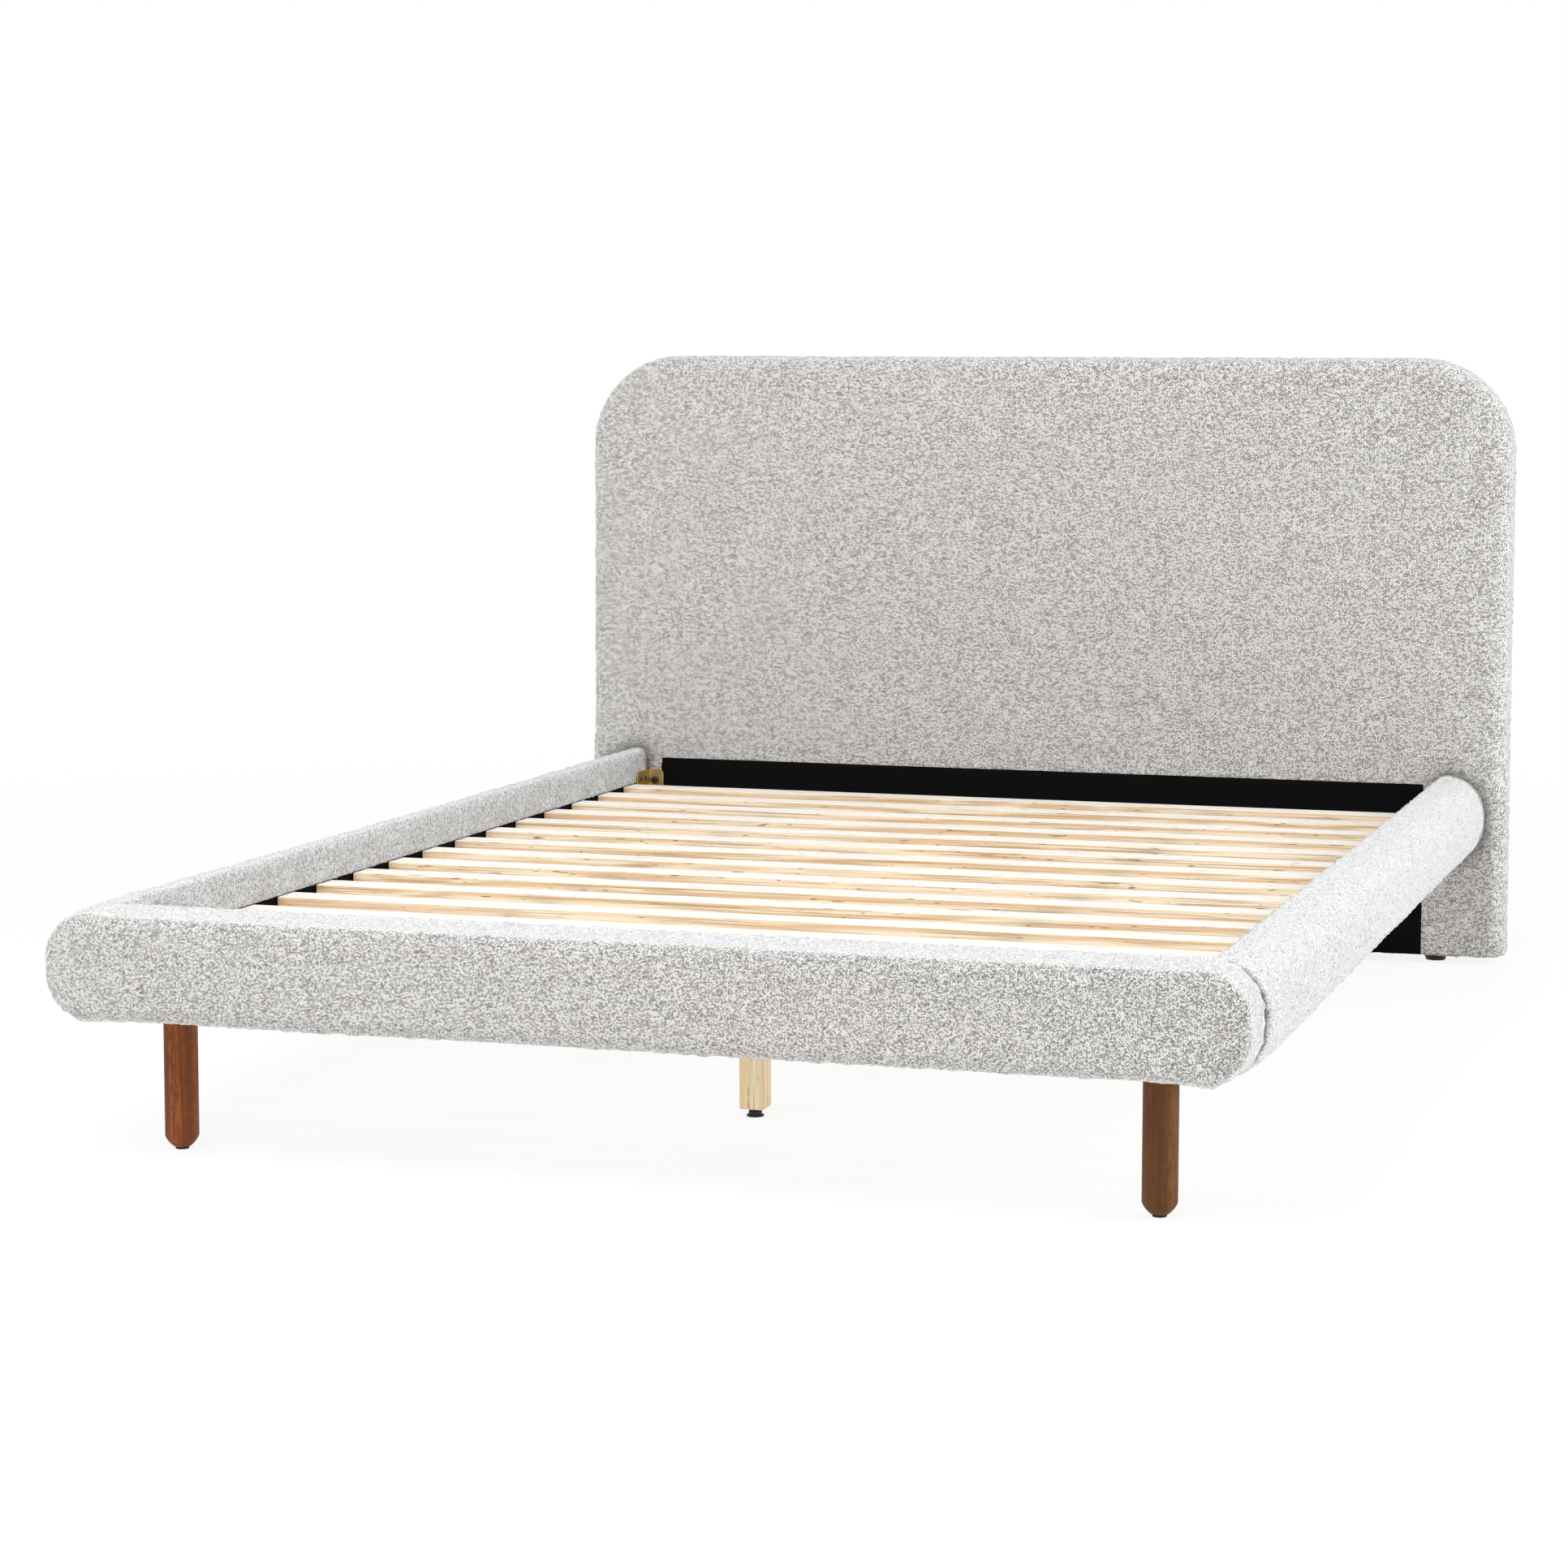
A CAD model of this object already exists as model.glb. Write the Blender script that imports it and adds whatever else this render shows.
"""An upholstered double bed: boucle headboard and rails, stained legs and a lift-out deck of pine slats."""

import math

import bpy
import numpy as np
from mathutils import Matrix, Vector


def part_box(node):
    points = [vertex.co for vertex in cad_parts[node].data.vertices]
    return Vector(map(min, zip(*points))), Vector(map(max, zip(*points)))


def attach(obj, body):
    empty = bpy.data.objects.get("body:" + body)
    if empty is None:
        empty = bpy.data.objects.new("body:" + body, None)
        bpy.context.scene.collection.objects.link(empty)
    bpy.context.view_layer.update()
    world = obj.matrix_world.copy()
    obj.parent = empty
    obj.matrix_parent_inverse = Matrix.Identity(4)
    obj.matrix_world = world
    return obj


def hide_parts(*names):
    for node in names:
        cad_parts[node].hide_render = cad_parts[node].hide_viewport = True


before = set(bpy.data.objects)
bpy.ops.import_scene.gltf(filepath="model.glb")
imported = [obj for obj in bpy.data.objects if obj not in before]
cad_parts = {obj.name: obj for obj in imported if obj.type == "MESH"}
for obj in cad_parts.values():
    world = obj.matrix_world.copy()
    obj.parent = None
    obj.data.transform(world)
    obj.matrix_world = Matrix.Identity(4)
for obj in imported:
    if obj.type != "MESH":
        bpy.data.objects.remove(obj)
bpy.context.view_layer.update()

# ---------- sizes, in metres ----------

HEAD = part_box("headboard_cover")
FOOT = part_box("foot_rail_cover")
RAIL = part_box("side_rail_right_cover")
SLAT_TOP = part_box("slat_01")[1].z
HEAD_CORNER = 0.165      # radius of the headboard's two top corners
HEAD_FOOT = 0.012        # radius of its two bottom corners
HEAD_EDGE = 0.030        # radius of its padded edge, front and back
RAIL_OUTER = 0.066       # radius of a rail's two outer edges
RAIL_INNER = 0.012       # radius of a rail's two inner edges
RAIL_CREST = 0.016       # radius of its inner edge along the top
RAIL_END = 0.006         # how round a side rail is where it meets the foot rail
RAIL_GAP = 0.002         # open seam between the two
PULL = (0.050, 0.011)    # length over which the rail is drawn narrower there, and by how much
HEAD_END = 0.012         # how round it is where it meets the headboard
FOOT_EDGE = 0.022        # radius of the padded edge round the foot rail's flat front
FOOT_BACK = 0.006        # radius of its edge against the side rails
FOLD_IN = 0.052          # distance of the small fold under each of its ends from the end
FOLD_W, FOLD_L, FOLD_H = 0.007, 0.020, 0.0045   # half width, half length and height of that fold
BACK_INSET = 0.058       # distance of the back panel from the headboard's outline
LINING_T = 0.0008        # thickness of the black lining cloth
LINING_IN = 0.0006       # how far its face lies behind the boucle's
LINING_STEP = 0.012      # spacing of the grid of a lining
PULL_H = 0.0002          # height of the faint pulls in a stretched sheet
REBATE = 0.0022          # how deep the boucle is pressed in where a lining covers it
TAPER = 1.50             # how much a front leg's rounded foot tends to a straight taper
LOOP_SIZE = 0.0052       # size of the loops that stand out of the boucle
TUFT_SIZE = 0.011        # size of the tufts that they make
RELIEF = 0.0020          # how far they stand out
WAVE_SIZE = 0.09         # size of the slack waves in a cover
WAVE_H = 0.001           # height of those waves
LEAST_COVER = 0.0009     # most that the relief may thin the cloth over the timber
SHARP = 0.0004           # smallest radius that an edge is given
SWELL = 0.003            # most that the stuffing swells a cover
SEAM_W = 0.0045          # half width of the dark seam between the foot rail and a side rail
HALO_W = 0.012           # how far the cloth is shaded round a side rail's end on the headboard
WEAVE = (0.0046, 0.0028) # width and height of the diamonds that the crossed threads make
SIM_FRAMES = 20
HEAD_VOXEL, RAIL_VOXEL, FOOT_VOXEL = 0.0085, 0.0064, 0.006   # grid sizes of the padded skins
SLAT_EDGE = 0.0016       # radius of a slat's edges
BAR_EDGE = 0.002         # radius of the edges of the beam and the cleats
BLOCK_EDGE = 0.0025      # radius of the edges of the corner blocks and the centre legs
PAD_R = 0.009            # radius of a front leg's felt pad and of the flat that it sits on
LEG_ROUND = 0.0155       # height of a front leg's rounded foot
SHAFT_R = 0.004          # radius of the bolts' and levellers' shafts
IRON_T = 0.003           # thickness of the bracket steel, and the inner radius of its bend


# ---------- shapes ----------

def arc(centre, radius, start, sweep, steps):
    """Points on a circle: the centre plus radius times (cosine, sine) of evenly spaced angles, in degrees."""
    a = np.radians(np.linspace(start, start + sweep, steps))
    return np.array(centre) + radius * np.stack([np.cos(a), np.sin(a)], 1)


def rounded_outline(low, high, radii, inset=0.0, steps=10):
    """A rectangle drawn inwards by inset whose corners are quarter circles, from the lower left one on."""
    low, high = np.array(low) + inset, np.array(high) - inset
    corners = []
    for right, up, radius, start in zip((0, 1, 1, 0), (0, 0, 1, 1), radii, (180, 270, 0, 90)):
        r = max(radius - inset, SHARP)
        centre = (high[0] - r if right else low[0] + r, high[1] - r if up else low[1] + r)
        corners.append(arc(centre, r, start, 90, steps))
    return np.concatenate(corners)


def edge_stations(start, end, first, last, steps=7):
    """(place, inset) pairs along an axis: a quarter circle of radius first, then one of radius last."""
    a = np.radians(np.linspace(0, 90, steps))
    head = np.stack([start + first * (1 - np.cos(a)), first * (1 - np.sin(a))], 1)
    tail = np.stack([end - last * (1 - np.cos(a)), last * (1 - np.sin(a))], 1)[::-1]
    return np.concatenate([head, tail])


def loft(rings):
    """A closed skin: quads between neighbouring rings, and each end ring joined to its own middle."""
    count, around = rings.shape[:2]
    verts = np.concatenate([rings.reshape(-1, 3), rings[:1].mean(1), rings[-1:].mean(1)])
    i, j = (g.ravel() for g in np.meshgrid(np.arange(count - 1), np.arange(around), indexing="ij"))
    k = (j + 1) % around
    quads = np.stack([i * around + j, i * around + k, (i + 1) * around + k, (i + 1) * around + j], 1)
    edge, last = np.arange(around), (count - 1) * around
    following = (edge + 1) % around
    caps = np.concatenate([
        np.stack([np.full(around, count * around), following, edge], 1),
        np.stack([np.full(around, count * around + 1), last + edge, last + following], 1)])
    return outward(verts, quads.tolist() + caps.tolist())


def outward(verts, faces):
    """The same skin with its faces turned outwards. Six times its volume is the sum of a . (b x c) over its
    triangles, and where that is negative every face is turned round."""
    ends = np.array([[f[0], f[1], f[2]] for f in faces] + [[f[0], f[2], f[3]] for f in faces if len(f) == 4])
    a, b, c = verts[ends[:, 0]], verts[ends[:, 1]], verts[ends[:, 2]]
    if np.einsum("ij,ij->i", a, np.cross(b, c)).sum() < 0:
        faces = [f[::-1] for f in faces]
    return verts, faces


def placed(flat, depth, axes):
    """Points (first, second) at a depth put on three named axes, such as 'xzy' for x, z and depth along y."""
    order = ["xyz".index(a) for a in axes]
    out = np.zeros((len(flat), 3))
    out[:, order[0]], out[:, order[1]], out[:, order[2]] = flat[:, 0], flat[:, 1], depth
    return out


def slab(outline, stations, axes):
    """A closed skin through copies of an outline: at each (place, inset) the outline drawn in by inset."""
    return loft(np.stack([placed(outline(inset), place, axes) for place, inset in stations]))


def turned(profile, centre=(0.0, 0.0, 0.0), axis="z", steps=48):
    """A lathe form: each (radius, height) pair of the profile gives a circle round the axis."""
    a = np.linspace(0, 2 * np.pi, steps, endpoint=False)
    circle = np.stack([np.cos(a), np.sin(a)], 1)
    axes = {"z": "xyz", "y": "xzy", "x": "yzx"}[axis]
    rings = np.stack([placed(circle * max(radius, 1e-5), height, axes) for radius, height in profile])
    return loft(rings + np.array(centre))


def joined(*skins):
    """Several skins as one: the vertices one after another, each skin's faces counted on from the last."""
    verts, faces, count = [], [], 0
    for v, f in skins:
        verts.append(v)
        faces += [[i + count for i in face] for face in f]
        count += len(v)
    return np.concatenate(verts), faces


def domed_profile(radius, height, edge, steps=5):
    """(radius, height) pairs of a disc from its underside to its top, both rims rounded by edge."""
    low = arc((radius - edge, edge), edge, -90, 90, steps)
    high = arc((radius - edge, height - edge), edge, 0, 90, steps)
    return np.concatenate([low, high])


def timber_skin(low, high, axis, edge, steps=4):
    """A planed bar: a rectangle with round corners of radius edge carried along the axis, its ends eased."""
    a, b = [n for n in range(3) if "xyz"[n] != axis]
    along = "xyz".index(axis)
    outline = lambda inset: rounded_outline((low[a], low[b]), (high[a], high[b]), [edge] * 4, inset, steps)
    stations = edge_stations(low[along], high[along], edge * 0.6, edge * 0.6, 3)
    return slab(outline, stations, "xyz"[a] + "xyz"[b] + axis)


# large numbers that scatter the bits of a place, and the bits kept
HASH_STEPS = np.array([73856093, 19349663, 83492791])
HASH_SEED, HASH_ADD, HASH_FIRST, HASH_SECOND = 2654435761, 12345, 1103515245, 747796405
HASH_MASK = 0x7FFFFFFF


def lattice_noise(points, size, seed):
    """Smooth noise from -1 to 1: a number mixed from each cube corner's place and the seed, blended between
    the corners of cubes of that size."""
    p = points / size
    cell = np.floor(p).astype(np.int64)
    t = p - cell
    t = t * t * (3 - 2 * t)
    total = np.zeros(len(points))
    for dx in (0, 1):
        for dy in (0, 1):
            for dz in (0, 1):
                corner = (cell + (dx, dy, dz)) * HASH_STEPS
                mixed = (corner[:, 0] ^ corner[:, 1] ^ corner[:, 2] ^ seed * HASH_SEED) & HASH_MASK
                mixed = (mixed * HASH_FIRST + HASH_ADD) & HASH_MASK
                mixed = ((mixed >> 9) ^ mixed) * HASH_SECOND & HASH_MASK
                value = mixed / (HASH_MASK >> 1) - 1
                weight = np.abs(1 - dx - t[:, 0]) * np.abs(1 - dy - t[:, 1]) * np.abs(1 - dz - t[:, 2])
                total += weight * value
    return total


def smooth_step(value, low, high):
    """0 below low, 1 above high, and t squared times (3 - 2t) between."""
    t = np.clip((value - low) / (high - low), 0, 1)
    return t * t * (3 - 2 * t)


# ---------- pieces ----------

def points_of(mesh):
    """The mesh's vertices as an array."""
    co = np.zeros(len(mesh.vertices) * 3, np.float32)
    mesh.vertices.foreach_get("co", co)
    return co.reshape(-1, 3).astype(float)


def normals_of(mesh):
    """The mesh's vertex normals as an array."""
    normals = np.zeros(len(mesh.vertices) * 3, np.float32)
    mesh.vertex_normals.foreach_get("vector", normals)
    return normals.reshape(-1, 3).astype(float)


def piece(name, skin, finish, body="bed", stands_for=(), crease=30):
    """A named object from a skin, with its material, on its body. Edges over crease degrees stay sharp."""
    mesh = bpy.data.meshes.new(name)
    mesh.from_pydata(skin[0], [], skin[1])
    mesh.shade_smooth()
    mesh.set_sharp_from_angle(angle=math.radians(crease))
    made = bpy.data.objects.new(name, mesh)
    bpy.context.scene.collection.objects.link(made)
    mesh.materials.append(finish)
    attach(made, body)
    if stands_for:
        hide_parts(*stands_for)
    return made


def evaluated_mesh(obj):
    """A new mesh with the object's modifiers worked in."""
    graph = bpy.context.evaluated_depsgraph_get()
    return bpy.data.meshes.new_from_object(obj.evaluated_get(graph))


def blown_up(obj, held):
    """The vertices after the Cloth modifier has blown the closed skin up, with the held ones pinned."""
    group = obj.vertex_groups.new(name="held")
    group.add(np.nonzero(held)[0].tolist(), 1.0, "REPLACE")
    cloth = obj.modifiers.new("cloth", "CLOTH")
    settings = cloth.settings
    settings.quality = 4
    settings.mass = 0.3
    settings.use_pressure = True
    settings.uniform_pressure_force = 4
    settings.effector_weights.gravity = 0
    settings.vertex_group_mass = "held"
    cloth.point_cache.frame_start, cloth.point_cache.frame_end = 1, SIM_FRAMES
    scene = bpy.context.scene
    for number in range(1, SIM_FRAMES + 1):
        scene.frame_set(number)
    moved = points_of(evaluated_mesh(obj))
    obj.modifiers.remove(cloth)
    scene.frame_set(1)
    return moved


def woven(mesh, points):
    """Lays the weave on a mesh of quads: each corner's (u, v) is its place, seen square on to the side that
    its face looks to."""
    normals = np.zeros(len(mesh.polygons) * 3, np.float32)
    mesh.polygon_normals.foreach_get("vector", normals)
    side = np.abs(normals.reshape(-1, 3)).argmax(1)
    corner = np.zeros(len(mesh.loops), np.int32)
    mesh.loops.foreach_get("vertex_index", corner)
    axes = np.array([[2, 1], [0, 2], [0, 1]])[np.repeat(side, 4)]
    places = np.take_along_axis(points[corner], axes, 1)
    mesh.uv_layers.new(name="weave").data.foreach_set("uv", places.astype(np.float32).ravel())


def marked(mesh, name, values):
    """Keeps a number for every vertex in the mesh, for its material to read."""
    mesh.attributes.new(name, "FLOAT", "POINT").data.foreach_set("value", values.astype(np.float32))


def seam_dark(p):
    """1 in the seams where the side rails meet the foot rail, less round their ends on the headboard and
    round its back panel, 0 away from them. Round the ends it falls off with the distance to the rail's
    section, a rounded rectangle."""
    beside = smooth_step(np.abs(p[:, 0]), RAIL[0].x - 0.004, RAIL[0].x)
    foot = (1 - smooth_step(np.abs(p[:, 1] - RAIL[0].y - RAIL_GAP / 2), SEAM_W / 3, SEAM_W)) * beside
    middle_x, middle_z = [(RAIL[0][n] + RAIL[1][n]) / 2 for n in (0, 2)]
    half_w, half_h = [(RAIL[1][n] - RAIL[0][n]) / 2 for n in (0, 2)]
    across, up = np.abs(p[:, 0]) - middle_x, p[:, 2] - middle_z
    round_r = np.where(across > 0, RAIL_OUTER, RAIL_CREST)
    a, b = np.abs(across) - half_w + round_r, np.abs(up) - half_h + round_r
    off = np.hypot(np.maximum(a, 0), np.maximum(b, 0)) + np.minimum(np.maximum(a, b), 0) - round_r
    front = np.exp(-np.maximum(off, 0) / HALO_W) * (np.abs(p[:, 1] - HEAD[0].y) < 0.02)
    back = (1 - smooth_step(np.abs(inside_back_panel(p)), 0.001, 0.004)) * (p[:, 1] > HEAD[1].y - 0.006)
    return np.maximum(np.maximum(foot, 0.62 * front), 0.5 * back)


def stuffed(name, outline, stations, voxel, free, stands_for, press, covered, seed, cloth,
            fronts=lambda points, normals: np.abs(normals[:, 1])):
    """A padded piece. A slab is remeshed, blown up as cloth where free(points) is above 0, held back to
    SWELL, drawn in by the middle swell, subdivided once and pressed by press(points). It is given the loops'
    relief, except where covered(points) is 1. The weave is open where fronts(points, normals) is near 1."""
    scene = bpy.context.scene
    skin = slab(outline, stations, "xzy")
    mesh = bpy.data.meshes.new(name)
    mesh.from_pydata(skin[0], [], skin[1])
    work = bpy.data.objects.new(name, mesh)
    scene.collection.objects.link(work)
    remesh = work.modifiers.new("remesh", "REMESH")
    remesh.mode, remesh.voxel_size = "VOXEL", voxel
    work.data = evaluated_mesh(work)
    work.modifiers.clear()
    rest = points_of(work.data)
    loose = free(rest)
    shift = blown_up(work, loose < 0.02) - rest
    size = np.linalg.norm(shift, axis=1, keepdims=True)
    shift *= np.minimum(1, SWELL / np.maximum(size, 1e-9)) * loose[:, None]
    inward = normals_of(work.data) * loose[:, None] * np.median(size[loose > 0.9].clip(0, SWELL))
    work.data.vertices.foreach_set("co", (rest + shift - inward).astype(np.float32).ravel())
    work.data.update()
    subdivide = work.modifiers.new("subdivide", "SUBSURF")
    subdivide.levels = subdivide.render_levels = 1
    work.data = evaluated_mesh(work)
    work.modifiers.clear()
    work.data.name = name
    points = press(points_of(work.data))
    work.data.vertices.foreach_set("co", points.astype(np.float32).ravel())
    work.data.update()
    bumps = lattice_noise(points, LOOP_SIZE, seed) + 0.6 * lattice_noise(points, TUFT_SIZE, seed + 1)
    waves = 0.9 * lattice_noise(points, WAVE_SIZE, seed + 2)
    lift = np.maximum((bumps * RELIEF + waves * WAVE_H * free(points)) - RELIEF * 0.35, -LEAST_COVER)
    normals = normals_of(work.data)
    dark = seam_dark(points)
    points = points + normals * (lift * (1 - dark) * (1 - covered(points)))[:, None]
    work.data.vertices.foreach_set("co", points.astype(np.float32).ravel())
    woven(work.data, points)
    marked(work.data, "open", smooth_step(fronts(points, normals), 0.3, 0.75))
    marked(work.data, "seam", dark)
    work.data.shade_smooth()
    work.data.update()
    work.data.materials.append(cloth)
    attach(work, "bed")
    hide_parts(*stands_for)
    return work


# ---------- shader maths ----------

class Number:
    """A number in a shader: its socket, with the arithmetic signs adding Math nodes."""

    def __init__(self, finish, socket):
        self.finish, self.socket = finish, socket

    def maths(self, operation, first, second=0.0):
        return self.finish.node("ShaderNodeMath", {"operation": operation}, {0: first, 1: second})

    def __add__(self, other):
        return self.maths("ADD", self, other)

    def __mul__(self, other):
        return self.maths("MULTIPLY", self, other)

    def __sub__(self, other):
        return self.maths("SUBTRACT", self, other)

    def __rsub__(self, other):
        return self.maths("SUBTRACT", other, self)

    __radd__, __rmul__ = __add__, __mul__

    def sine(self):
        return self.maths("SINE", self)

    def step(self, low, high):
        """0 at low and 1 at high, smoothly between."""
        return self.finish.node("ShaderNodeMapRange", {"interpolation_type": "SMOOTHSTEP"},
                                {"Value": self, "From Min": low, "From Max": high})


class Finish:
    """A procedural material built round one Principled shader."""

    def __init__(self, name, **fixed):
        self.material = bpy.data.materials.new(name)
        self.material.use_nodes = True
        self.tree = self.material.node_tree
        self.shader = self.tree.nodes["Principled BSDF"]
        for socket, value in fixed.items():
            self.shader.inputs[socket.replace("_", " ")].default_value = value
        self.place = self.node("ShaderNodeTexCoord", out="Object")

    def feed(self, socket, value):
        if isinstance(value, Number):
            self.tree.links.new(value.socket, socket)
        elif isinstance(value, (tuple, list)) and len(value) == 3 and len(socket.default_value) == 4:
            socket.default_value = (*value, 1.0)
        else:
            socket.default_value = value

    def node(self, kind, settings=(), inputs=(), out=0):
        """Adds any node: its settings first, then the values or links of its sockets."""
        made = self.tree.nodes.new(kind)
        for key, value in dict(settings).items():
            setattr(made, key, value)
        for key, value in dict(inputs).items():
            self.feed(made.inputs[key], value)
        return Number(self, made.outputs[out])

    def mix(self, factor, first, second, blend="MIX"):
        """Two colours mixed by a factor."""
        return self.node("ShaderNodeMix", {"data_type": "RGBA", "blend_type": blend},
                         {0: factor, 6: first, 7: second}, 2)

    def scaled(self, vector, by):
        return self.node("ShaderNodeVectorMath", {"operation": "MULTIPLY"}, {0: vector, 1: by})

    def noise(self, where, scale, detail=2.0, rough=0.5):
        return self.node("ShaderNodeTexNoise", {},
                         {"Vector": where, "Scale": scale, "Detail": detail, "Roughness": rough})

    def cells(self, where, scale, out="Distance", jitter=1.0):
        return self.node("ShaderNodeTexVoronoi", {},
                         {"Vector": where, "Scale": scale, "Randomness": jitter}, out)

    def parts(self, vector):
        """The x, y and z of a vector."""
        return [self.node("ShaderNodeSeparateXYZ", {}, {0: vector}, n) for n in range(3)]

    def wave(self, phase):
        """A sine of a number of turns, brought to run from 0 to 1."""
        return (phase * (2 * math.pi)).sine() * 0.5 + 0.5

    def bump(self, height, depth, strength=1.0):
        self.feed(self.shader.inputs["Normal"], self.node(
            "ShaderNodeBump", {}, {"Height": height, "Distance": depth, "Strength": strength}))

    def made(self, colour, roughness=None):
        self.feed(self.shader.inputs["Base Color"], colour)
        if roughness is not None:
            self.feed(self.shader.inputs["Roughness"], roughness)
        return self.material


def boucle_finish(name, drawn, opened, coarse=1.0, specks=0.0, yarn=(1.0, 0.99, 0.972)):
    """Looped yarn: slanting rows of pale loops with dark gaps where the threads cross, some loops sunk, in
    clumps. Drawn and opened are how deep and dark the gaps are where the cloth is pulled round a side and
    where it is flat on a front, coarse makes the weave larger, and specks is how dark the scattered specks
    are. The seams are dark."""
    f = Finish(name, Roughness=0.95, Sheen_Weight=0.5, Sheen_Roughness=0.4, Specular_IOR_Level=0.12)
    across, along, _ = f.parts(f.scaled(f.node("ShaderNodeUVMap", {"uv_map": "weave"}),
                                        (1 / WEAVE[0] / coarse, 1 / WEAVE[1] / coarse, 1.0)))
    flat = f.node("ShaderNodeAttribute", {"attribute_name": "open"}, {}, "Fac")
    seam = f.node("ShaderNodeAttribute", {"attribute_name": "seam"}, {}, "Fac")
    depth = flat * (opened - drawn) + drawn
    drift = f.noise(f.place, 140.0, 0.0) * 0.5
    gaps = (f.wave(across + along + drift) * f.wave(across - along + drift)).step(0.12, 0.62)
    rows = f.node("ShaderNodeCombineXYZ", {}, {0: across + along, 1: across - along})
    sunk = f.parts(f.cells(rows, 1.0, "Color", jitter=0.35))[0].step(0.62, 0.70)
    clump = f.noise(f.place, 430.0, 0.0).step(0.36, 0.50)
    height = clump * 0.45 - gaps * 0.8 - sunk * 0.4
    pale = (1 - gaps * (sunk * 0.35 + 0.60) * depth) * (1 - sunk * 0.30 * depth)
    pale = pale * (1 - (1 - clump) * 0.40 * depth)
    if specks:
        speck = f.noise(f.scaled(f.place, (1.0, 0.55, 0.8)), 520.0, 0.0).step(0.68, 0.74)
        pale = pale * (1 - speck * (1 - flat) * specks)
    thread = f.mix(flat, (0.965, 0.98, 0.99), yarn)
    colour = f.mix(pale * (1 - seam * 0.92), (0.075, 0.062, 0.052), thread)
    f.bump(height, 0.0013, 0.8)
    return f.made(colour)


def lining_finish():
    """Black lining cloth: fine crossed threads and a little pale lint."""
    f = Finish("lining", Roughness=0.95, Specular_IOR_Level=0.05)
    x, y, z = f.parts(f.scaled(f.place, (1400.0, 1400.0, 1400.0)))
    threads = f.wave(x + y) * f.wave(z)
    lint = f.noise(f.scaled(f.place, (1.0, 1.0, 3.0)), 160.0, 3.0, 0.7).step(0.58, 0.80)
    colour = f.mix(threads * 0.5 + lint * 0.5, (0.0035, 0.0035, 0.0037), (0.012, 0.012, 0.0125))
    f.bump(threads + f.noise(f.place, 40.0) * 2, 0.0004, 0.5)
    return f.made(colour)


def mean_colour(one, other):
    """The colour half way between two."""
    return tuple((a + b) / 2 for a, b in zip(one, other))


def wood_finish(name, axis, early, late, knot, planed=None, knots=True, ring=95.0, rough=0.5, mottle=0.0):
    """Sawn or turned wood: rings seen along the grain, which flow round the knots, with pores, dark streaks
    and short black marks. The broad planed faces are paler. Mottle is how blotched a stain is."""
    f = Finish(name, Roughness=rough, Specular_IOR_Level=0.2)
    shift = f.node("ShaderNodeAttribute", {"attribute_name": "plank"}, {}, "Vector")
    where = f.node("ShaderNodeVectorMath", {"operation": "ADD"}, {0: f.place, 1: shift})

    def drawn_out(along, across=1.0):
        """The place, scaled by along on the grain's axis and by across on the other two."""
        return f.scaled(where, tuple(along if letter == axis else across for letter in "xyz"))

    long, longer = drawn_out(0.06), drawn_out(0.02)
    spot = f.cells(drawn_out(0.16, 0.8), 14.0) if knots else None
    bend = f.noise(long, 9.0, 2.0) * 0.09
    across, up = [part for part, letter in zip(f.parts(where), "xyz") if letter != axis]
    reach = across * 0.8 + up * 0.6 + bend
    if knots:
        reach = reach + (1 - spot.step(0.02, 0.30)) * 0.012
    rings = f.wave(reach * ring + f.noise(longer, 260.0, 2.0) * 0.5)
    fibre = f.noise(longer, 900.0, 3.0, 0.7)
    tint = f.noise(long, 6.0, 2.0)
    grain = (rings * 0.55 + fibre * 0.45 + tint * 0.35).step(0.35, 1.0)
    colour = f.mix(grain, early, late)
    if planed is not None:
        broad = f.node("ShaderNodeAttribute", {"attribute_name": "planed"}, {}, "Fac")
        colour = f.mix(broad * 0.95, colour, f.mix(grain * 0.35, planed, early))
    streak = f.noise(longer, 120.0, 2.0, 0.6).step(0.60, 0.72)
    line = f.noise(drawn_out(0.008), 680.0, 1.0).step(0.56, 0.60)
    marks = streak * 0.35 + line * 0.8
    colour = f.mix(marks if planed is None else marks * (1 - broad * 0.45), colour, mean_colour(late, knot))
    if mottle:
        blot = f.noise(drawn_out(0.5), 130.0, 3.0, 0.7).step(0.40, 0.66)
        colour = f.mix(blot * mottle, colour, mean_colour(late, knot))
    if knots:
        dash = f.noise(drawn_out(0.09), 380.0, 1.0).step(0.70, 0.73)
        colour = f.mix(dash * 0.9, colour, knot)
        heart = 1 - (spot + f.noise(where, 120.0) * 0.03).step(0.035, 0.075)
        colour = f.mix(heart * 0.85, colour, knot)
    f.bump(fibre * 0.7 + rings * 0.3, 0.0004, 0.35)
    return f.made(colour, fibre * 0.2 + (rough - 0.1))


def plated_finish(name, colours, metal, rough):
    """Plated steel: cloudy changes of tint, fine pits and rubbed patches."""
    f = Finish(name, Metallic=metal)
    cloud = f.noise(f.place, 55.0, 3.0, 0.6)
    warm = f.mix(cloud.step(0.35, 0.65), colours[0], colours[1])
    colour = f.mix(f.noise(f.place, 130.0, 2.0).step(0.5, 0.75), warm, colours[2])
    pits = f.noise(f.place, 600.0, 2.0)
    f.bump(pits, 0.0002, 0.25)
    return f.made(colour, cloud * 0.2 + pits * 0.1 + (rough - 0.12))


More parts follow.
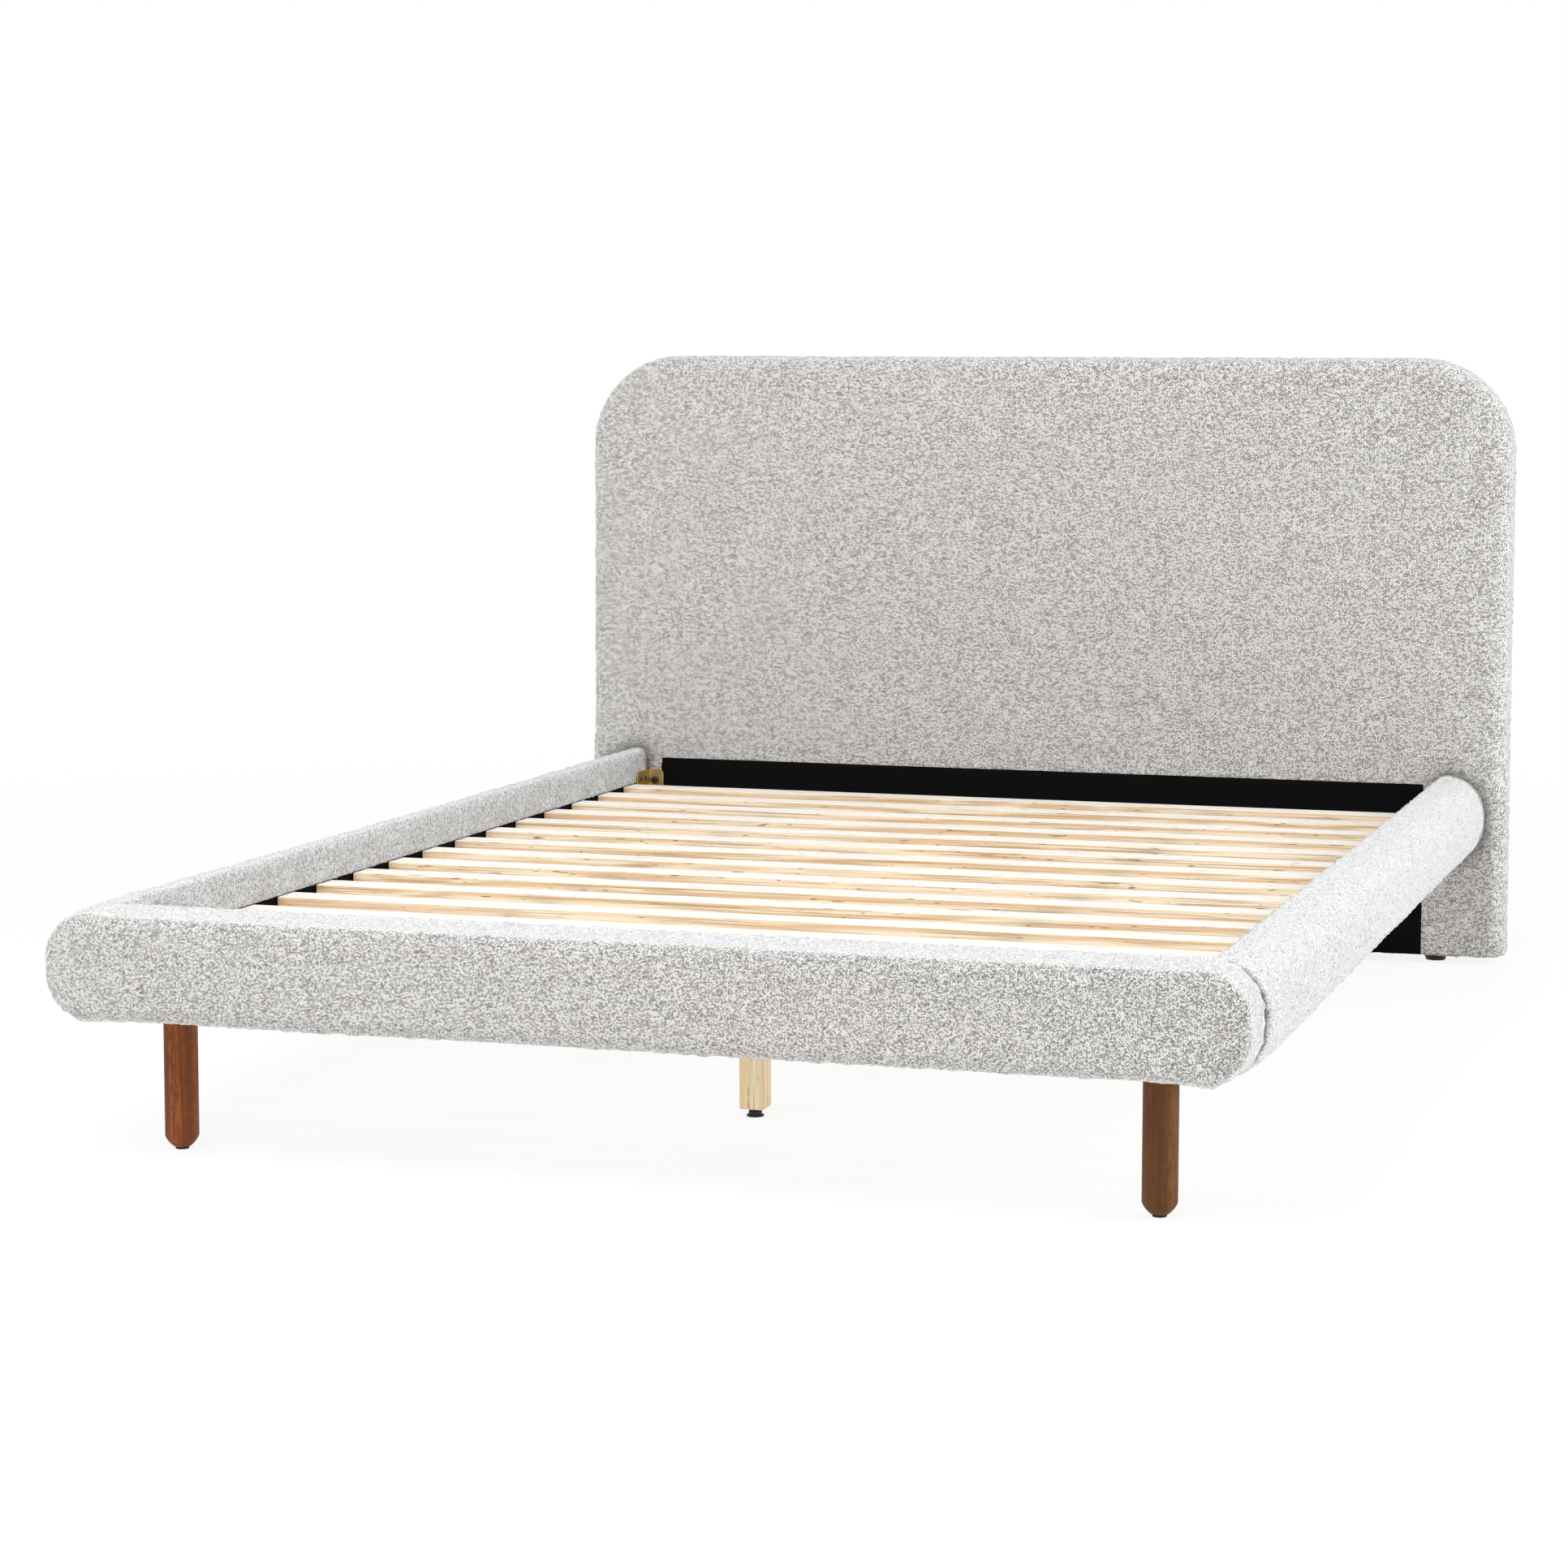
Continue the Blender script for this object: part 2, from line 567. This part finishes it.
def moulded_finish(name, colour, rough):
    """Moulded plastic or pressed felt: one tone with a fine skin."""
    f = Finish(name, Specular_IOR_Level=0.4)
    skin = f.noise(f.place, 1400.0, 2.0)
    blur = f.noise(f.place, 90.0, 3.0)
    dark = tuple(c * 0.6 for c in colour)
    f.bump(skin, 0.0002, 0.3)
    return f.made(f.mix(blur * 0.6 + skin * 0.4, dark, colour), blur * 0.15 + (rough - 0.07))


def webbing_finish():
    """Woven tape: ribs across, threads along."""
    f = Finish("webbing", Roughness=0.7)
    x, y, _ = f.parts(f.scaled(f.place, (700.0, 500.0, 1.0)))
    ribs = f.wave(x) * 0.5 + f.wave(y) * 0.5
    f.bump(ribs, 0.0004, 0.6)
    return f.made(f.mix(ribs, (0.008, 0.008, 0.009), (0.035, 0.035, 0.036)))


boucle = boucle_finish("boucle", 0.65, 1.50, coarse=0.85)
boucle_head = boucle_finish("boucle_head", 1.10, 1.36, coarse=1.2)
boucle_rail = boucle_finish("boucle_rail", 0.55, 1.05, specks=0.7, yarn=(0.94, 0.97, 1.0))
lining = lining_finish()
pine = {a: wood_finish("pine_" + a, a, (0.95, 0.82, 0.63), (0.78, 0.57, 0.36), (0.20, 0.10, 0.045),
                       planed=(1.0, 0.985, 0.965)) for a in "xy"}
pine["z"] = wood_finish("pine_z", "z", (1.0, 0.89, 0.66), (0.95, 0.74, 0.46), (0.40, 0.22, 0.10))
walnut_stain = {side: wood_finish("walnut_stain_" + side, "z", early, late, (0.06, 0.02, 0.008), knots=False,
                                  ring=22.0, rough=0.55, mottle=0.6)
                for side, early, late in (("left", (0.30, 0.085, 0.022), (0.17, 0.045, 0.012)),
                                          ("right", (0.21, 0.083, 0.022), (0.12, 0.045, 0.012)))}
plywood = wood_finish("plywood", "x", (0.66, 0.50, 0.31), (0.46, 0.31, 0.17), (0.2, 0.1, 0.05), ring=240.0)
frame_wood = wood_finish("frame_wood", "z", (0.72, 0.55, 0.34), (0.52, 0.35, 0.19), (0.16, 0.08, 0.04))
yellow_zinc = plated_finish("yellow_zinc", [(0.64, 0.45, 0.15), (0.44, 0.36, 0.15), (0.70, 0.42, 0.19)],
                            metal=0.8, rough=0.35)
dark_steel = plated_finish("dark_steel", [(0.07, 0.042, 0.03), (0.12, 0.07, 0.05), (0.05, 0.035, 0.03)],
                           metal=0.8, rough=0.45)
zinc_steel = plated_finish("zinc_steel", [(0.60, 0.61, 0.63), (0.50, 0.51, 0.54), (0.68, 0.68, 0.70)],
                           metal=0.9, rough=0.4)
black_plastic = moulded_finish("black_plastic", (0.022, 0.022, 0.023), 0.45)
felt = moulded_finish("felt", (0.045, 0.032, 0.026), 0.95)
webbing = webbing_finish()


# ---------- headboard ----------

def head_outline(inset):
    """The headboard seen from the front, drawn in by inset on its sides and top, its underside kept flat."""
    return rounded_outline((HEAD[0].x, HEAD[0].z - inset), (HEAD[1].x, HEAD[1].z),
                           [HEAD_FOOT + inset, HEAD_FOOT + inset, HEAD_CORNER, HEAD_CORNER], inset, 16)


def head_free(p):
    """How far the headboard's cover may swell: nowhere on its back, its underside or behind the rails."""
    front = 1 - smooth_step(p[:, 1], HEAD[1].y - 0.028, HEAD[1].y - 0.010)
    low = smooth_step(p[:, 2], HEAD[0].z + 0.012, HEAD[0].z + 0.05)
    behind = (np.abs(p[:, 0]) < RAIL[1].x + 0.02) & (p[:, 1] < HEAD[0].y + 0.01)
    rails = 1 - behind * (1 - smooth_step(p[:, 2], RAIL[1].z, RAIL[1].z + 0.06))
    return front * low * rails


def inside_back_panel(p):
    """How far inside the back panel's outline a point lies, from straight edges and round top corners."""
    side, top = HEAD[1].x - BACK_INSET - np.abs(p[:, 0]), HEAD[1].z - BACK_INSET - p[:, 2]
    radius = HEAD_CORNER - BACK_INSET
    corner = radius - np.hypot(np.maximum(radius - side, 0), np.maximum(radius - top, 0))
    return np.minimum(corner, p[:, 2] - HEAD[0].z - BACK_INSET)


def head_covered(p):
    """1 where the black lining or the back panel lies over the headboard's cover, 0 elsewhere."""
    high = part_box("headboard_lining")[1]
    inside = np.minimum(high.x - np.abs(p[:, 0]), high.z - p[:, 2])
    front = smooth_step(inside, -0.003, 0.001) * (p[:, 1] < HEAD[0].y + 0.006)
    return front + smooth_step(inside_back_panel(p), 0.0015, 0.006) * (p[:, 1] > HEAD[1].y - 0.006)


def head_press(p):
    """Presses the front in where the black lining covers it, and the back in under its panel."""
    p[:, 1] += REBATE * head_covered(p) * np.where(p[:, 1] < (HEAD[0].y + HEAD[1].y) / 2, 1, -1)
    return p


stuffed("headboard_upholstery", head_outline, edge_stations(HEAD[0].y, HEAD[1].y, HEAD_EDGE, HEAD_EDGE),
        HEAD_VOXEL, head_free, ["headboard_cover", "headboard_foam"], head_press, head_covered, seed=3,
        cloth=boucle_head)


def stretched_sheet(name, width, height, corner, place, axes, node, finish, turn, steps):
    """A sheet of cloth stretched flat, given its thickness. It is a grid over a rectangle whose half width
    falls off by a quarter circle at its two top corners, with faint pulls that die away towards its rim."""
    u, v = (g.ravel() for g in np.meshgrid(np.linspace(-1, 1, steps[0]), np.linspace(-1, 1, steps[1]),
                                           indexing="ij"))
    b = v * height / 2
    over = np.maximum(b - (height / 2 - corner), 0)
    a = u * (width / 2 - corner + np.sqrt(np.maximum(corner ** 2 - over ** 2, 0)))
    pulls = PULL_H * lattice_noise(np.stack([a * 3, b * 0.6, np.ones(len(a))], 1), 0.05, 7)
    rim = 1 - np.maximum(np.abs(u), np.abs(v)) ** 8
    verts = placed(np.stack([a + place[0], b + place[1]], 1), place[2] + turn * pulls * rim, axes)
    i, j = (g.ravel() for g in np.meshgrid(np.arange(steps[0] - 1), np.arange(steps[1] - 1), indexing="ij"))
    one = i * steps[1] + j
    faces = np.stack([one, one + steps[1], one + steps[1] + 1, one + 1], 1)
    normal = np.cross(verts[faces[0][1]] - verts[faces[0][0]], verts[faces[0][2]] - verts[faces[0][0]])
    if normal["xyz".index(axes[2])] * turn < 0:
        faces = faces[:, ::-1]
    sheet = piece(name, (verts, faces.tolist()), finish, stands_for=[node])
    thick = sheet.modifiers.new("thickness", "SOLIDIFY")
    thick.thickness, thick.offset = LINING_T, -1.0
    return sheet


def lining_sheet(name, node, axes, front, turn):
    """A black lining over its CAD node's face. Its outline is the node's, and front is its face's place."""
    low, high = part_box(node)
    a, b = "xyz".index(axes[0]), "xyz".index(axes[1])
    width, height = high[a] - low[a], high[b] - low[b]
    place = ((low[a] + high[a]) / 2, (low[b] + high[b]) / 2, front)
    steps = (max(8, round(width / LINING_STEP)), max(6, round(height / LINING_STEP)))
    sheet = stretched_sheet(name, width, height, 0.002, place, axes, node, lining, turn, steps)
    return sheet


lining_sheet("headboard_lining_cloth", "headboard_lining", "xzy", HEAD[0].y + LINING_IN, -1)
back_low, back_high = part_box("headboard_back_cover")
back_w, back_h = back_high.x - back_low.x, back_high.z - back_low.z
back_corner = HEAD_CORNER - BACK_INSET
back_panel = stretched_sheet("headboard_back_panel", back_w, back_h, back_corner,
                             (0.0, (back_low.z + back_high.z) / 2, HEAD[1].y - LINING_T), "xzy",
                             "headboard_back_cover", boucle, 1, (170, 120))
woven(back_panel.data, points_of(back_panel.data))
marked(back_panel.data, "open", np.ones(len(back_panel.data.vertices)))

# ---------- rails ----------

def rail_outline(inset):
    """A side rail's section from its inner face outwards: two small corners, then two wide ones."""
    return rounded_outline((0.0, RAIL[0].z), (RAIL[1].x - RAIL[0].x, RAIL[1].z),
                           [RAIL_INNER, RAIL_OUTER, RAIL_OUTER, RAIL_CREST], inset, 12)


def rail_free(p):
    """How far a side rail's cover may swell: not on its inner face and not at its ends."""
    off_face = smooth_step(np.abs(p[:, 0]) - RAIL[0].x, 0.002, 0.02)
    ends = smooth_step(np.minimum(p[:, 1] - RAIL[0].y, RAIL[1].y - p[:, 1]), 0.004, 0.03)
    return off_face * ends


def rail_covered(p):
    """1 where the black lining lies over a side rail's inner face, below the slats' top, 0 elsewhere."""
    below = 1 - smooth_step(p[:, 2], SLAT_TOP - 0.003, SLAT_TOP + 0.001)
    return below * (1 - smooth_step(np.abs(p[:, 0]) - RAIL[0].x, 0.003, 0.008))


def rail_press(p):
    """Presses the inner face in under the black lining, and draws the rail narrower towards the foot rail
    along a quarter of an ellipse."""
    side = np.sign(p[:, 0])
    p[:, 0] += side * REBATE * rail_covered(p)
    t = np.clip((p[:, 1] - RAIL[0].y) / PULL[0], 0, 1)
    pull = 1 - np.sqrt(1 - (1 - t) ** 2)
    middle = (RAIL[0].z + RAIL[1].z) / 2
    p[:, 0] -= side * PULL[1] * pull * smooth_step(np.abs(p[:, 0]) - RAIL[0].x, 0.02, 0.06)
    p[:, 2] -= 0.5 * PULL[1] * pull * (p[:, 2] - middle) / (RAIL[1].z - middle)
    return p


for number, side in enumerate(("left", "right")):
    sign = 1 if side == "right" else -1
    outline = lambda inset: (rail_outline(inset) + [RAIL[0].x, 0]) * [sign, 1]
    stations = edge_stations(RAIL[0].y + RAIL_GAP, RAIL[1].y - 0.0003, RAIL_END, HEAD_END)
    stuffed(f"side_rail_{side}_upholstery", outline, stations, RAIL_VOXEL, rail_free,
            [f"side_rail_{side}_cover", f"side_rail_{side}_foam"], rail_press, rail_covered,
            seed=11 + 10 * number, cloth=boucle_rail,
            fronts=lambda points, normals: -np.sign(points[:, 0]) * normals[:, 0])
    lining_sheet(f"side_rail_{side}_lining_cloth", f"side_rail_{side}_lining", "yzx",
                 sign * (RAIL[0].x + 0.0004), -sign)


def foot_outline(inset):
    """The foot rail seen from the front, drawn in by inset."""
    return rounded_outline((FOOT[0].x, FOOT[0].z), (FOOT[1].x, FOOT[1].z), [RAIL_OUTER] * 4, inset, 14)


def foot_free(p):
    """How far the foot rail's cover may swell: not on its back."""
    return smooth_step(FOOT[1].y - p[:, 1], 0.006, 0.03)


def foot_covered(p):
    """1 where the black lining lies over the foot rail's back, 0 elsewhere."""
    low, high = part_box("foot_rail_lining")
    inside = np.minimum(np.minimum(high.x - np.abs(p[:, 0]), high.z - p[:, 2]), p[:, 2] - low.z)
    return smooth_step(inside, -0.001, 0.003) * (p[:, 1] > FOOT[1].y - 0.006)


def foot_press(p):
    """Presses the back in for its black lining, and pulls a small fold of cloth down at each lower corner, a
    bell curve across it and along it."""
    p[:, 1] -= REBATE * foot_covered(p)
    under = 1 - smooth_step(p[:, 2], FOOT[0].z, FOOT[0].z + 0.02)
    across, along = np.abs(p[:, 0]) - FOOT[1].x + FOLD_IN, p[:, 1] - FOOT[0].y - FOLD_L
    fold = np.exp(-(across / FOLD_W) ** 2 - (along / FOLD_L) ** 2)
    p[:, 2] -= FOLD_H * fold * under
    return p


stuffed("foot_rail_upholstery", foot_outline, edge_stations(FOOT[0].y, FOOT[1].y, FOOT_EDGE, FOOT_BACK),
        FOOT_VOXEL, foot_free, ["foot_rail_cover", "foot_rail_foam"], foot_press, foot_covered, seed=31,
        cloth=boucle)
lining_sheet("foot_rail_lining_cloth", "foot_rail_lining", "xzy", FOOT[1].y - LINING_IN, 1)

# ---------- slats and timber ----------

def set_plank(obj, shift):
    """Moves the grain of one piece of wood, so that no two pieces are alike."""
    plank = obj.data.attributes.new("plank", "FLOAT_VECTOR", "POINT")
    plank.data.foreach_set("vector", np.tile(np.array(shift, np.float32), len(obj.data.vertices)))
    return obj


def timber(name, node, axis, edge, body="bed"):
    """A planed pine bar in its CAD node's place."""
    low, high = (np.array(corner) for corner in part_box(node))
    made = piece(name, timber_skin(low, high, axis, edge), pine[axis], body, [node], crease=12)
    random = np.random.default_rng(sum(map(ord, node)))
    return set_plank(made, random.uniform(-4, 4, 3))


for number in range(1, 16):
    slat = timber(f"slat_{number:02d}_board", f"slat_{number:02d}", "x", SLAT_EDGE, "slat_deck")
    broad = np.array([abs(face.normal.z) > 0.9 for face in slat.data.polygons], np.float32)
    slat.data.attributes.new("planed", "FLOAT", "FACE").data.foreach_set("value", broad)
timber("beam_timber", "beam", "y", BAR_EDGE)
for side in ("left", "right"):
    timber(f"cleat_{side}_timber", f"cleat_{side}", "y", BAR_EDGE)
    timber(f"corner_block_{side}_timber", f"corner_block_{side}", "x", BLOCK_EDGE)
for number in (1, 2, 3):
    timber(f"centre_leg_{number}_timber", f"centre_leg_{number}", "z", BLOCK_EDGE)

# ---------- legs and feet ----------

def middle_of(node):
    low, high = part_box(node)
    return (low.x + high.x) / 2, (low.y + high.y) / 2, low.z, high.z


def leg_profile(radius, low, high):
    """(radius, height) pairs: from the pad a quarter of an ellipse, flattened towards its chord by the power
    TAPER, out to the full radius, then straight up."""
    a = np.radians(np.linspace(-90, 0, 14))
    out, up = np.maximum(np.cos(a), 0) ** TAPER, 1 - np.abs(np.sin(a)) ** TAPER
    bottom = np.stack([PAD_R + (radius - PAD_R) * out, low + LEG_ROUND * up], 1)
    return np.concatenate([[(PAD_R * 0.5, low)], bottom, [(radius, (low + high) / 2), (radius, high)]])


def glide_profile(top):
    """(radius, height) pairs of a glide: a domed disc, a collar up to the headboard, its shaft to top."""
    foot_h = HEAD[0].z
    disc = domed_profile(0.0172, foot_h, 0.0012)[:5]
    collar = [(0.0174, foot_h * 0.36), (0.019, foot_h * 0.44), (0.019, foot_h - 0.0008), (0.0182, foot_h)]
    return np.concatenate([disc, collar, [(SHAFT_R, foot_h), (SHAFT_R, top)]])


def leveller_profile(top):
    """(radius, height) pairs of a leveller: a thin disc, a collar, and a thread of small steps up to top."""
    disc = domed_profile(0.012, 0.0026, 0.0010)
    collar = np.array([(0.0092, 0.0027), (0.0092, 0.0070), (0.0084, 0.008), (SHAFT_R, 0.008)])
    turns = np.arange(0, 61)
    thread = np.stack([SHAFT_R - 0.0003 * (turns % 2), 0.0085 + turns * 0.0005], 1)
    return np.concatenate([disc, collar, thread, [(0.0036, top - 0.001), (0.0026, top)]])


for side, shift in (("left", (0.7, 0.2, 0.9)), ("right", (-1.3, 0.5, 0.1))):
    node = f"front_leg_{side}"
    x, y, low, high = middle_of(node)
    radius = (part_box(node)[1].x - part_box(node)[0].x) / 2
    leg = piece(f"{node}_turned", turned(leg_profile(radius, low, high), (x, y, 0), steps=72),
                walnut_stain[side], stands_for=[node], crease=40)
    set_plank(leg, shift)
    node = f"glide_{side}"
    x, y, low, high = middle_of(node)
    piece(f"{node}_moulding", turned(glide_profile(high), (x, y, 0)), black_plastic,
          stands_for=[node], crease=35)

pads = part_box("leg_pads")
pad = domed_profile(PAD_R, pads[1].z - pads[0].z, 0.0006)
pad_centres = [middle_of(f"front_leg_{side}")[:2] for side in ("left", "right")]
piece("leg_pads_felt", joined(*[turned(pad, (x, y, 0)) for x, y in pad_centres]),
      felt, stands_for=["leg_pads"], crease=35)

for number in (1, 2, 3):
    node = f"leveller_{number}"
    x, y, low, high = middle_of(node)
    piece(f"{node}_moulding", turned(leveller_profile(high), (x, y, 0), steps=32), black_plastic,
          node, [node], crease=35)

# ---------- ironwork ----------

def bracket_skin(sign):
    """A bent steel angle: its two lines, outer and inner, run back along the rail, round a small bend and
    along the headboard, and its height falls off by a quarter circle at each free end."""
    low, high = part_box("bracket_right")
    bend_x, bend_y = high.x - 2 * IRON_T, high.y - 2 * IRON_T

    def line(inset):
        """The bracket's outline seen from above, drawn inwards by inset."""
        return np.concatenate([
            np.stack([np.full(18, high.x - inset), np.linspace(low.y, bend_y, 18)], 1),
            arc((bend_x, bend_y), 2 * IRON_T - inset, 0, 90, 7)[1:],
            np.stack([np.linspace(bend_x, low.x, 12)[1:], np.full(11, high.y - inset)], 1)])

    outer, inner = line(0.0), line(IRON_T)
    from_rail_end = outer[:, 1] - low.y
    from_head_end = np.where(outer[:, 1] > high.y - 1e-6, outer[:, 0] - low.x, 1.0)
    drop = sum(r - np.sqrt(np.maximum(r * r - np.maximum(r - d, 0) ** 2, 0))
               for r, d in ((0.006, from_rail_end), (0.008, from_head_end)))
    foot, top = np.full(len(outer), low.z), high.z - drop
    corners = [(outer, foot), (outer, top), (inner, top), (inner, foot)]
    verts, faces = loft(np.stack([np.column_stack(corner) for corner in corners], 1))
    return outward(verts * [sign, 1, 1], faces)


def screw_skin(place, axis, sign):
    """A wood screw: its domed head with a recess stands off the face at place, along the axis by sign."""
    radius, height = 0.004, 0.002
    a = np.radians(np.linspace(0, 70, 6))
    dome = np.stack([radius * np.cos(a), height * np.sin(a)], 1)
    profile = np.concatenate([[(0.0019, -0.014), (0.0019, 0.0)], dome,
                              [(radius * 0.32, height * 0.93), (radius * 0.28, height * 0.3)]])
    verts, faces = turned(profile, axis=axis, steps=20)
    verts[:, "xyz".index(axis)] *= sign
    return outward(verts + np.array(place), faces)


bracket_low, bracket_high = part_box("bracket_right")
for side, sign in (("left", -1), ("right", 1)):
    made = piece(f"bracket_{side}_plate", bracket_skin(sign), yellow_zinc,
                 stands_for=[f"bracket_{side}"], crease=25)
    bevel = made.modifiers.new("edges", "BEVEL")
    bevel.width, bevel.segments = 0.0005, 2
    bevel.limit_method, bevel.angle_limit = "ANGLE", math.radians(50)

SCREW_IN = 0.014         # distance of the outer screws from the bracket's edges
screw_ys = [bracket_low.y + SCREW_IN, bracket_low.y + 0.040]
screw_zs = [bracket_low.z + SCREW_IN, (bracket_low.z + bracket_high.z) / 2, bracket_high.z - SCREW_IN]
screws = [screw_skin((sign * (bracket_high.x - IRON_T), y, z), "x", -sign)
          for sign in (-1, 1) for y in screw_ys for z in screw_zs]
SHOE_SCREW_X = 0.0295    # distance of a beam shoe's screws from the bed's middle
SHOE_SCREW_Z = (0.201, 0.222)
shoe_low, shoe_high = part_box("beam_brackets")
screws += [screw_skin((x, face, z), "y", towards) for x in (-SHOE_SCREW_X, SHOE_SCREW_X) for z in SHOE_SCREW_Z
           for face, towards in ((shoe_low.y + IRON_T, 1), (shoe_high.y - IRON_T, -1))]
piece("bracket_screw_set", joined(*screws), dark_steel, stands_for=["bracket_screws"],
      crease=35)


def head_bolt_profile():
    """(radius, height) pairs of a headboard bolt: its shaft, a button head of a quarter circle, a recess."""
    a = np.radians(np.linspace(0, 75, 7))
    dome = np.stack([0.0045 + 0.0025 * np.cos(a), -0.003 - 0.002 * np.sin(a)], 1)
    return np.concatenate([[(SHAFT_R, 0.073), (SHAFT_R, 0.0), (0.007, 0.0)], dome,
                           [(0.0029, -0.0049), (0.0027, -0.002)]])


BOLT_IN = 0.020          # distance of the headboard bolts from the bracket's top and bottom
FOOT_BOLT_Z = 0.2065     # height of the foot rail's bolts
bolt_x = (bracket_low.x + bracket_high.x) / 2 + 0.001
foot_bolt_x = abs(middle_of("front_leg_right")[0])
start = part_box("frame_bolts")[0].y
foot_bolt = [(SHAFT_R - 0.0004, start), (SHAFT_R, start + 0.001), (SHAFT_R, start + 0.045),
             (SHAFT_R - 0.0004, start + 0.046)]
bolts = []
for sign in (-1, 1):
    bolts += [turned(head_bolt_profile(), (sign * bolt_x, bracket_high.y - IRON_T, z), "y", 28)
              for z in (bracket_low.z + BOLT_IN, bracket_high.z - BOLT_IN)]
    bolts.append(turned(foot_bolt, (sign * foot_bolt_x, 0, FOOT_BOLT_Z), "y", 24))
piece("frame_bolt_set", joined(*bolts), dark_steel, stands_for=["frame_bolts"], crease=35)

# ---------- the CAD nodes that stay ----------

for node, finish in {
    "headboard_panel": plywood, "headboard_fixing_board": plywood, "side_rail_left_board": plywood,
    "side_rail_right_board": plywood, "foot_rail_board": plywood, "headboard_stile_left": frame_wood,
    "headboard_stile_right": frame_wood, "headboard_top_rail": frame_wood, "beam_brackets": zinc_steel,
    "cleat_screws": yellow_zinc, "hanger_bolts": zinc_steel, "slat_tapes": webbing,
}.items():
    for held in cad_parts[node].material_slots:
        held.material = finish

# ---------- floor, light and camera ----------

def light_path_white(finish, share):
    """Mixes the material with plain white by share(finish), as the camera, reflections and glass see it."""
    tree = finish.tree
    path = [finish.node("ShaderNodeLightPath", out=kind) for kind in
            ("Is Camera Ray", "Is Glossy Ray", "Is Transmission Ray")]
    seen = path[0].maths("MINIMUM", path[0] + path[1] + path[2], 1.0) * share(finish)
    white = tree.nodes.new("ShaderNodeEmission")
    mixed = tree.nodes.new("ShaderNodeMixShader")
    tree.links.new(seen.socket, mixed.inputs[0])
    tree.links.new(finish.shader.outputs[0], mixed.inputs[1])
    tree.links.new(white.outputs[0], mixed.inputs[2])
    tree.links.new(mixed.outputs[0], tree.nodes["Material Output"].inputs["Surface"])
    return finish.material


floor_finish = Finish("floor", Roughness=0.9, Specular_IOR_Level=0.0)
floor_cloud = floor_finish.noise(floor_finish.place, 3.0)
floor_finish.made(floor_finish.mix(floor_cloud, (0.93, 0.93, 0.93), (0.95, 0.95, 0.95)))
FLOOR_HALF = 14.0


def floor_share(finish):
    """How white the floor shows: 0.86 near the bed, where its shadow lies, and fully white further off."""
    distance = finish.node("ShaderNodeVectorMath", {"operation": "LENGTH"}, {0: finish.place}, "Value")
    return distance.step(1.8, 4.5) * 0.14 + 0.86


floor = bpy.data.objects.new("floor", bpy.data.meshes.new("floor"))
floor_corners = [(x * FLOOR_HALF, y * FLOOR_HALF, 0.0) for x, y in ((-1, -1), (1, -1), (1, 1), (-1, 1))]
floor.data.from_pydata(floor_corners, [], [(0, 1, 2, 3)])
floor.data.materials.append(light_path_white(floor_finish, floor_share))
bpy.context.scene.collection.objects.link(floor)

WORLD_LIGHT = 0.75
world = bpy.data.worlds.new("studio")
world.use_nodes = True
tree = world.node_tree
background = tree.nodes["Background"]
background.inputs["Color"].default_value = (1.0, 0.995, 0.985, 1.0)
background.inputs["Strength"].default_value = WORLD_LIGHT
white = tree.nodes.new("ShaderNodeBackground")
white.inputs["Color"].default_value = (1.0, 1.0, 1.0, 1.0)
paths = tree.nodes.new("ShaderNodeLightPath")
blend = tree.nodes.new("ShaderNodeMixShader")
tree.links.new(paths.outputs["Is Camera Ray"], blend.inputs[0])
tree.links.new(background.outputs[0], blend.inputs[1])
tree.links.new(white.outputs[0], blend.inputs[2])
tree.links.new(blend.outputs[0], tree.nodes["World Output"].inputs["Surface"])
bpy.context.scene.world = world


def area_light(name, place, target, size, power):
    """A soft square lamp that looks at a point."""
    lamp = bpy.data.lights.new(name, "AREA")
    lamp.size, lamp.energy = size, power
    holder = bpy.data.objects.new(name, lamp)
    bpy.context.scene.collection.objects.link(holder)
    holder.location = place
    holder.rotation_euler = (Vector(target) - Vector(place)).to_track_quat("-Z", "Y").to_euler()


area_light("key", (5.2, 0.5, 2.4), (0.0, 0.0, 0.3), 2.6, 132.0)
area_light("overhead", (-0.8, -3.3, 3.8), (0.0, 0.0, 0.4), 2.5, 122.0)

SENSOR = 36.0            # the camera's sensor and lens, in millimetres
LENS = 84.41795
SHIFT = (-0.04873706, -0.02494824)   # how far the lens is shifted sideways and up, over the sensor's width
camera_data = bpy.data.cameras.new("camera")
camera_data.sensor_width, camera_data.lens = SENSOR, LENS
camera_data.shift_x, camera_data.shift_y = SHIFT
camera_data.clip_end = 60.0
camera = bpy.data.objects.new("camera", camera_data)
bpy.context.scene.collection.objects.link(camera)
EYE = (1.52468, -5.23255, 1.01769)
YAW, PITCH, ROLL = (math.radians(a) for a in (16.4008, 5.9177, 0.2087))
camera.matrix_world = (Matrix.Translation(EYE) @ Matrix.Rotation(YAW, 4, "Z")
                       @ Matrix.Rotation(math.pi / 2 - PITCH, 4, "X") @ Matrix.Rotation(ROLL, 4, "Z"))
bpy.context.scene.camera = camera
bpy.context.scene.view_settings.view_transform = "Standard"
